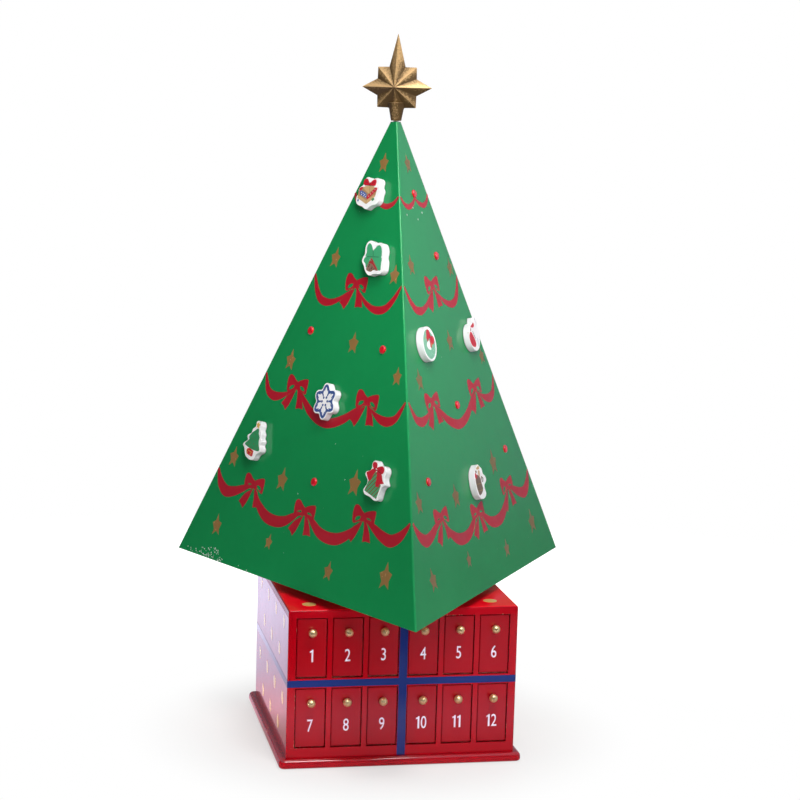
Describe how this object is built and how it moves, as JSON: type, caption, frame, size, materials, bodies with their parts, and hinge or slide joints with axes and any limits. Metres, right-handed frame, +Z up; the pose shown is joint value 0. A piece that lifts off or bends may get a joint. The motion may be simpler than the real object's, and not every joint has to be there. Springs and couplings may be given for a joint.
{
  "type": "advent calendar",
  "caption": "Wooden advent calendar: square cabinet of small numbered drawers under a three-sided turning tree with magnetic ornaments on studs and a gold star.",
  "frame": {"origin": "centre of the plinth's underside", "axes": "+Z up; the numbered front faces -Y; +X to the right seen from the front"},
  "size_m": [0.4131, 0.3711, 0.7168],
  "materials": {
    "red_paint": "satin red paint on wood",
    "blue_paint": "satin blue paint on wood",
    "green_lacquer": "gloss green lacquer on wood",
    "bare_wood": "bare birch",
    "ornament_paint": "white painted edge with a printed front",
    "gold_paint": "antique gold paint on carved wood",
    "stud_red": "gloss red paint on steel",
    "zinc_steel": "zinc plated"
  },
  "bodies": {
    "cabinet": {"plinth": "red_paint", "plinth_screws": "zinc_steel", "cabinet_floor": "red_paint", "cabinet_left_side": "red_paint", "cabinet_right_side": "red_paint", "middle_shelf": "red_paint", "cabinet_top": "red_paint", "drawer_stops": "bare_wood", "drawer_dividers": "red_paint", "centre_posts": "red_paint", "turntable_lower_plate": "zinc_steel", "turntable_lower_screws": "zinc_steel", "turntable_balls": "zinc_steel"},
    "tree": {"tree_panel_left": "green_lacquer", "tree_panel_right": "green_lacquer", "tree_panel_back": "green_lacquer", "tree_base_board": "bare_wood", "tree_tip_plug": "bare_wood", "studs_left": "stud_red", "studs_right": "stud_red", "studs_back": "stud_red", "turntable_upper_plate": "zinc_steel", "turntable_upper_screws": "zinc_steel"},
    "star_pin": {"star_pin": "zinc_steel"},
    "star": {"star_topper": "gold_paint"},
    "ornament_gift_boxes": {"ornament_gift_boxes": "ornament_paint"},
    "ornament_holly": {"ornament_holly": "ornament_paint"},
    "ornament_snowflake": {"ornament_snowflake": "ornament_paint"},
    "ornament_tree": {"ornament_tree": "ornament_paint"},
    "ornament_striped_gift": {"ornament_striped_gift": "ornament_paint"},
    "ornament_wreath": {"ornament_wreath": "ornament_paint"},
    "ornament_bauble": {"ornament_bauble": "ornament_paint"},
    "ornament_mug": {"ornament_mug": "ornament_paint"},
    "drawer_01": {"drawer_01": "red_paint"},
    "drawer_02": {"drawer_02": "red_paint"},
    "drawer_03": {"drawer_03": "red_paint"},
    "drawer_04": {"drawer_04": "red_paint"},
    "drawer_05": {"drawer_05": "red_paint"},
    "drawer_06": {"drawer_06": "red_paint"},
    "drawer_07": {"drawer_07": "red_paint"},
    "drawer_08": {"drawer_08": "red_paint"},
    "drawer_09": {"drawer_09": "red_paint"},
    "drawer_10": {"drawer_10": "red_paint"},
    "drawer_11": {"drawer_11": "red_paint"},
    "drawer_12": {"drawer_12": "red_paint"},
    "drawer_13": {"drawer_13": "red_paint"},
    "drawer_14": {"drawer_14": "red_paint"},
    "drawer_15": {"drawer_15": "red_paint"},
    "drawer_16": {"drawer_16": "red_paint"},
    "drawer_17": {"drawer_17": "red_paint"},
    "drawer_18": {"drawer_18": "red_paint"},
    "drawer_19": {"drawer_19": "red_paint"},
    "drawer_20": {"drawer_20": "red_paint"},
    "drawer_21": {"drawer_21": "red_paint"},
    "drawer_22": {"drawer_22": "red_paint"},
    "drawer_23": {"drawer_23": "red_paint"},
    "drawer_24": {"drawer_24": "red_paint"}
  },
  "joints": [
    {"name": "tree_turn", "type": "hinge", "parent": "cabinet", "child": "tree", "pos_m": [0, 0, 0.1625], "axis": [0, 0, 1], "continuous": true},
    {"name": "star_lift", "type": "slide", "parent": "tree", "child": "star_pin", "axis": [0, 0, 1], "range_m": [0, 0.032]},
    {"name": "star_turn", "type": "hinge", "parent": "star_pin", "child": "star", "pos_m": [0, 0, 0.63], "axis": [0, 0, 1], "continuous": true},
    {"name": "gift_boxes_pull", "type": "slide", "parent": "tree", "child": "ornament_gift_boxes", "axis": [-0.8685, -0.4311, 0.2448], "range_m": [0, 0.025]},
    {"name": "holly_pull", "type": "slide", "parent": "tree", "child": "ornament_holly", "axis": [-0.8685, -0.4311, 0.2448], "range_m": [0, 0.025]},
    {"name": "snowflake_pull", "type": "slide", "parent": "tree", "child": "ornament_snowflake", "axis": [-0.8685, -0.4311, 0.2448], "range_m": [0, 0.025]},
    {"name": "tree_pull", "type": "slide", "parent": "tree", "child": "ornament_tree", "axis": [-0.8685, -0.4311, 0.2448], "range_m": [0, 0.025]},
    {"name": "striped_gift_pull", "type": "slide", "parent": "tree", "child": "ornament_striped_gift", "axis": [-0.8685, -0.4311, 0.2448], "range_m": [0, 0.025]},
    {"name": "wreath_pull", "type": "slide", "parent": "tree", "child": "ornament_wreath", "axis": [0.8076, -0.5366, 0.2448], "range_m": [0, 0.025]},
    {"name": "bauble_pull", "type": "slide", "parent": "tree", "child": "ornament_bauble", "axis": [0.8076, -0.5366, 0.2448], "range_m": [0, 0.025]},
    {"name": "mug_pull", "type": "slide", "parent": "tree", "child": "ornament_mug", "axis": [0.8076, -0.5366, 0.2448], "range_m": [0, 0.025]},
    {"name": "drawer_01_slide", "type": "slide", "parent": "cabinet", "child": "drawer_01", "axis": [0, -1, 0], "range_m": [0, 0.1]},
    {"name": "drawer_02_slide", "type": "slide", "parent": "cabinet", "child": "drawer_02", "axis": [0, -1, 0], "range_m": [0, 0.1]},
    {"name": "drawer_03_slide", "type": "slide", "parent": "cabinet", "child": "drawer_03", "axis": [0, -1, 0], "range_m": [0, 0.1]},
    {"name": "drawer_04_slide", "type": "slide", "parent": "cabinet", "child": "drawer_04", "axis": [0, -1, 0], "range_m": [0, 0.1]},
    {"name": "drawer_05_slide", "type": "slide", "parent": "cabinet", "child": "drawer_05", "axis": [0, -1, 0], "range_m": [0, 0.1]},
    {"name": "drawer_06_slide", "type": "slide", "parent": "cabinet", "child": "drawer_06", "axis": [0, -1, 0], "range_m": [0, 0.1]},
    {"name": "drawer_07_slide", "type": "slide", "parent": "cabinet", "child": "drawer_07", "axis": [0, -1, 0], "range_m": [0, 0.1]},
    {"name": "drawer_08_slide", "type": "slide", "parent": "cabinet", "child": "drawer_08", "axis": [0, -1, 0], "range_m": [0, 0.1]},
    {"name": "drawer_09_slide", "type": "slide", "parent": "cabinet", "child": "drawer_09", "axis": [0, -1, 0], "range_m": [0, 0.1]},
    {"name": "drawer_10_slide", "type": "slide", "parent": "cabinet", "child": "drawer_10", "axis": [0, -1, 0], "range_m": [0, 0.1]},
    {"name": "drawer_11_slide", "type": "slide", "parent": "cabinet", "child": "drawer_11", "axis": [0, -1, 0], "range_m": [0, 0.1]},
    {"name": "drawer_12_slide", "type": "slide", "parent": "cabinet", "child": "drawer_12", "axis": [0, -1, 0], "range_m": [0, 0.1]},
    {"name": "drawer_13_slide", "type": "slide", "parent": "cabinet", "child": "drawer_13", "axis": [0, 1, 0], "range_m": [0, 0.1]},
    {"name": "drawer_14_slide", "type": "slide", "parent": "cabinet", "child": "drawer_14", "axis": [0, 1, 0], "range_m": [0, 0.1]},
    {"name": "drawer_15_slide", "type": "slide", "parent": "cabinet", "child": "drawer_15", "axis": [0, 1, 0], "range_m": [0, 0.1]},
    {"name": "drawer_16_slide", "type": "slide", "parent": "cabinet", "child": "drawer_16", "axis": [0, 1, 0], "range_m": [0, 0.1]},
    {"name": "drawer_17_slide", "type": "slide", "parent": "cabinet", "child": "drawer_17", "axis": [0, 1, 0], "range_m": [0, 0.1]},
    {"name": "drawer_18_slide", "type": "slide", "parent": "cabinet", "child": "drawer_18", "axis": [0, 1, 0], "range_m": [0, 0.1]},
    {"name": "drawer_19_slide", "type": "slide", "parent": "cabinet", "child": "drawer_19", "axis": [0, 1, 0], "range_m": [0, 0.1]},
    {"name": "drawer_20_slide", "type": "slide", "parent": "cabinet", "child": "drawer_20", "axis": [0, 1, 0], "range_m": [0, 0.1]},
    {"name": "drawer_21_slide", "type": "slide", "parent": "cabinet", "child": "drawer_21", "axis": [0, 1, 0], "range_m": [0, 0.1]},
    {"name": "drawer_22_slide", "type": "slide", "parent": "cabinet", "child": "drawer_22", "axis": [0, 1, 0], "range_m": [0, 0.1]},
    {"name": "drawer_23_slide", "type": "slide", "parent": "cabinet", "child": "drawer_23", "axis": [0, 1, 0], "range_m": [0, 0.1]},
    {"name": "drawer_24_slide", "type": "slide", "parent": "cabinet", "child": "drawer_24", "axis": [0, 1, 0], "range_m": [0, 0.1]}
  ]
}
